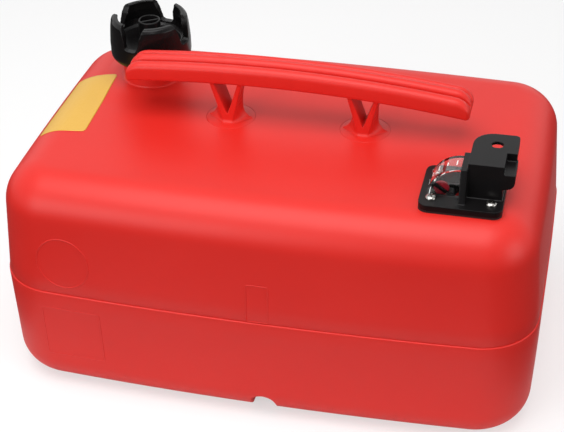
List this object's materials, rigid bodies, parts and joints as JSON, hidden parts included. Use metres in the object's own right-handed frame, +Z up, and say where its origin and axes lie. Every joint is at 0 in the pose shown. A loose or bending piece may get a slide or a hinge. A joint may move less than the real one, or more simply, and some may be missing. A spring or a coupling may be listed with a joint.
{
  "type": "portable outboard fuel tank",
  "caption": "Portable outboard fuel tank with carry handle, screw cap with vent knob, float fuel gauge under a clear lens and a hose connector block",
  "frame": {"origin": "middle of the base, on the surface the tank stands on", "axes": "+X along the tank towards the gauge, +Y to the back, +Z up"},
  "size_m": [0.49, 0.32, 0.284],
  "materials": {
    "red_shell": "satin moulded polyethylene",
    "black_nylon": "moulded, faint sheen",
    "white_acetal": "smooth moulded",
    "black_rubber": "smooth fuel-resistant rubber",
    "clear_lens": "clear moulded plastic",
    "red_indicator": "smooth moulded",
    "stainless": "bright stainless steel",
    "brass": "turned",
    "aluminium": "drawn tube",
    "tan_float": "closed-cell foam skin"
  },
  "bodies": {
    "tank": {"tank_shell": "red_shell", "carry_handle": "red_shell", "gauge_housing": "black_nylon", "gauge_gasket": "black_rubber", "gauge_lens": "clear_lens", "gauge_screws": "stainless", "screw_inserts": "brass", "pointer_shaft": "stainless", "pickup_tube": "aluminium", "pickup_strainer": "white_acetal", "outlet_nipple": "brass", "valve_spring": "stainless", "guide_pin": "stainless"},
    "gasket": {"cap_gasket": "black_rubber"},
    "liner": {"cap_liner": "white_acetal"},
    "cap": {"cap_crown": "black_nylon", "cap_insert": "black_nylon"},
    "vent_tip": {"vent_seal": "black_rubber"},
    "vent_screw": {"vent_knob": "black_nylon"},
    "float": {"gauge_pointer": "black_nylon", "pointer_disc": "red_indicator", "float_arm": "stainless", "float_body": "tan_float", "float_clips": "stainless"},
    "valve": {"outlet_valve": "brass"}
  },
  "joints": [
    {"name": "cap_lift", "type": "slide", "parent": "tank", "child": "gasket", "axis": [0, 0, 1], "range_m": [0, 0.08]},
    {"name": "cap_rise", "type": "slide", "parent": "gasket", "child": "liner", "axis": [0, 0, 1], "range_m": [0, 0.0091]},
    {"name": "cap_turn", "type": "hinge", "parent": "liner", "child": "cap", "pos_m": [-0.151, 0.065, 0.25], "axis": [0, 0, 1], "range_deg": [0, 540]},
    {"name": "vent_rise", "type": "slide", "parent": "cap", "child": "vent_tip", "axis": [0, 0, 1], "range_m": [0, 0.0023]},
    {"name": "vent_turn", "type": "hinge", "parent": "vent_tip", "child": "vent_screw", "pos_m": [-0.151, 0.065, 0.265], "axis": [0, 0, 1], "range_deg": [0, 540]},
    {"name": "float_swing", "type": "hinge", "parent": "tank", "child": "float", "pos_m": [0.1595, -0.0885, 0.221], "axis": [0, 1, 0], "range_deg": [0, 58]},
    {"name": "valve_push", "type": "slide", "parent": "tank", "child": "valve", "axis": [0, -1, 0], "range_m": [0, 0.003], "stiffness_N_per_m": 200, "springref_m": -0.004, "deforming": ["valve_spring"]}
  ],
  "couplings": [
    {"joint": "cap_rise", "follows": "cap_turn", "m_per_rad": 0.00095493},
    {"joint": "vent_rise", "follows": "vent_turn", "m_per_rad": 0.00023873}
  ]
}
